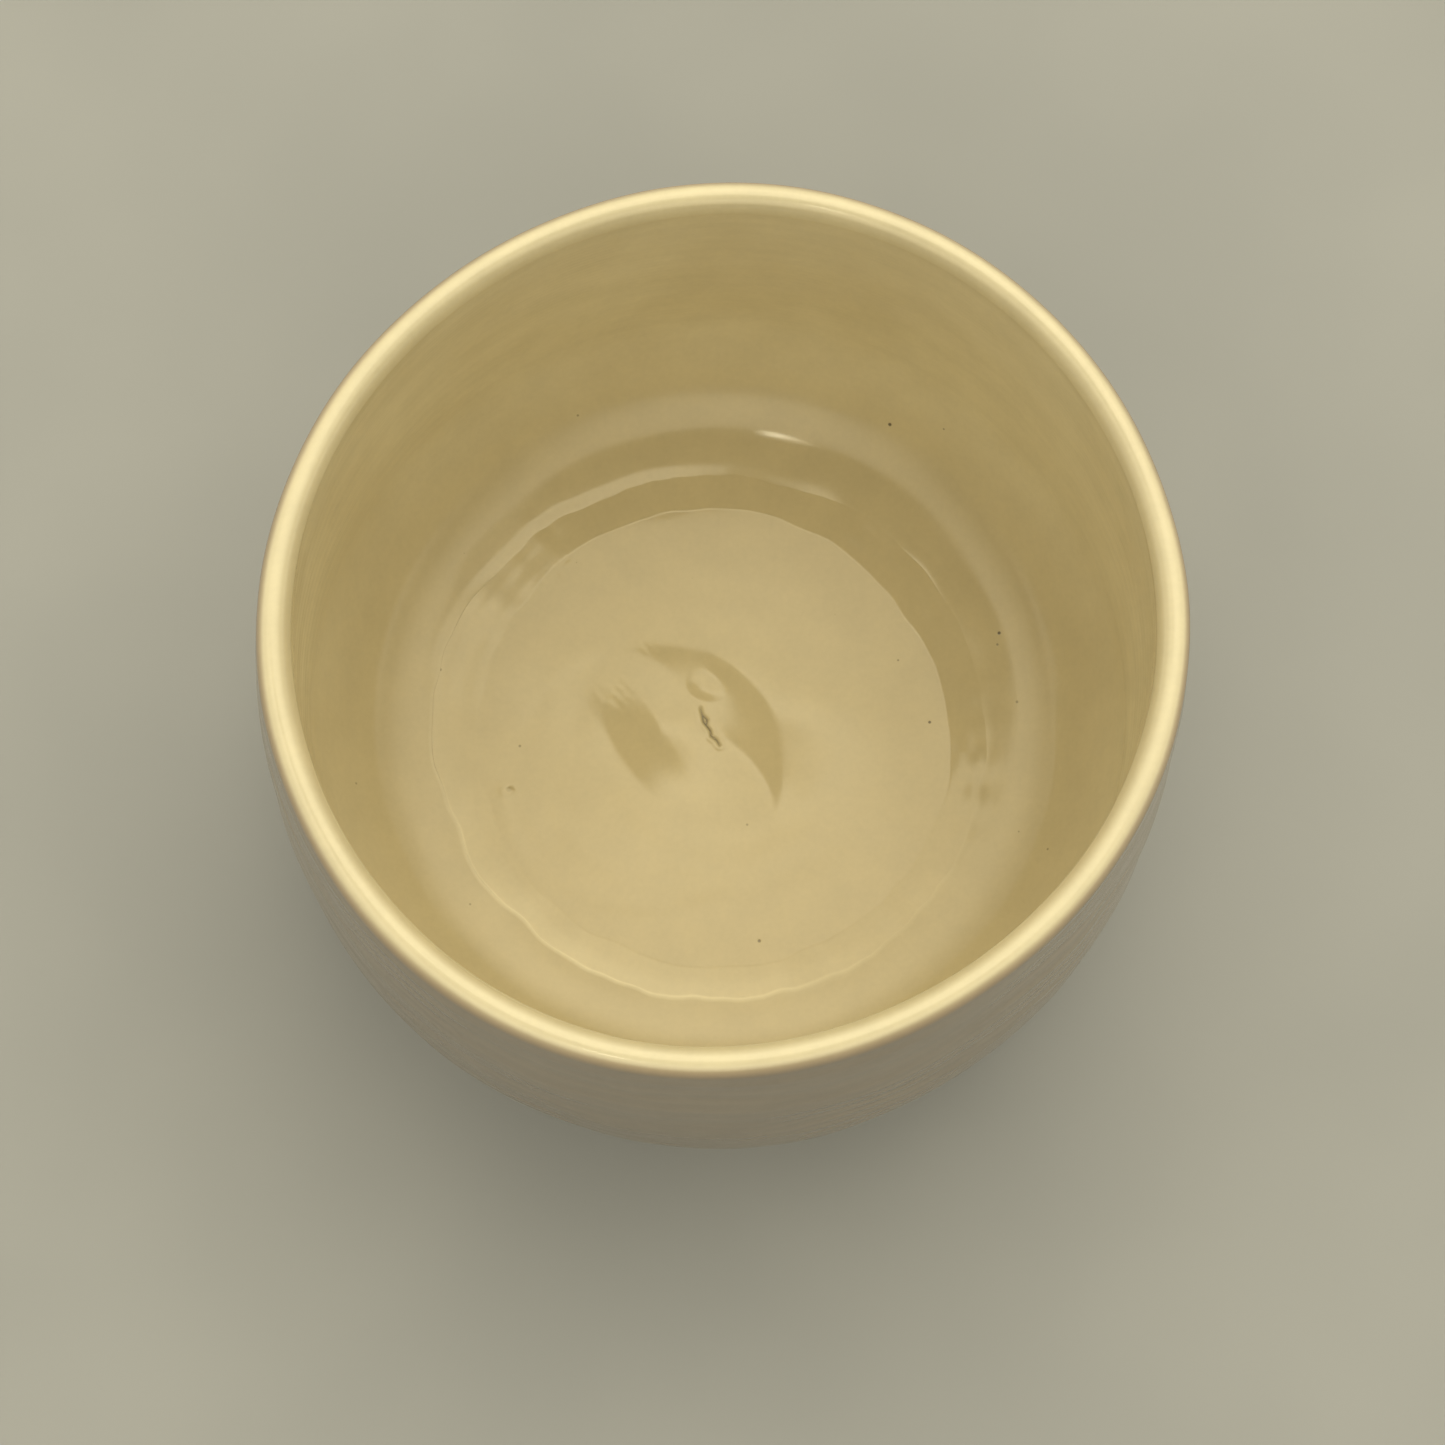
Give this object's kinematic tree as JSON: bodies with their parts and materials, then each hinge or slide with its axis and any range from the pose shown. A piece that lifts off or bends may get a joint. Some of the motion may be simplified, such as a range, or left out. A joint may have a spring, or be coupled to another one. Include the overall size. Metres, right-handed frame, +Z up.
{
  "type": "matcha bowl",
  "caption": "Wheel-thrown stoneware tea bowl with upright walls, a low rounded hip, a shallow tea well, a rounded lip and a bare clay foot ring; glossy cream glaze inside, buff outside.",
  "frame": {"origin": "on the bowl's axis, at the level of the surface that the foot stands on", "axes": "+Z up along the axis that the bowl was thrown on; -Y towards the side the picture was taken from"},
  "size_m": [0.125, 0.125, 0.074],
  "materials": {
    "stoneware": "bare fired stoneware, dry and faintly sandy",
    "foot_clay": "bare fired stoneware, turned, with fine grog",
    "inside_glaze": "glossy olive cream glaze with fine throwing lines",
    "outside_glaze": "glossy buff glaze, thinner and darker than inside, with faint trimming lines",
    "lip_glaze": "glossy pale cream glaze, thicker over the lip",
    "well_glaze": "glossy olive cream glaze, pooled and gently wavy"
  },
  "bodies": {
    "root": {"clay_body": "stoneware", "foot_ring": "foot_clay", "inside_glaze": "inside_glaze", "outside_glaze": "outside_glaze", "lip_glaze": "lip_glaze", "well_glaze": "well_glaze"}
  },
  "joints": []
}
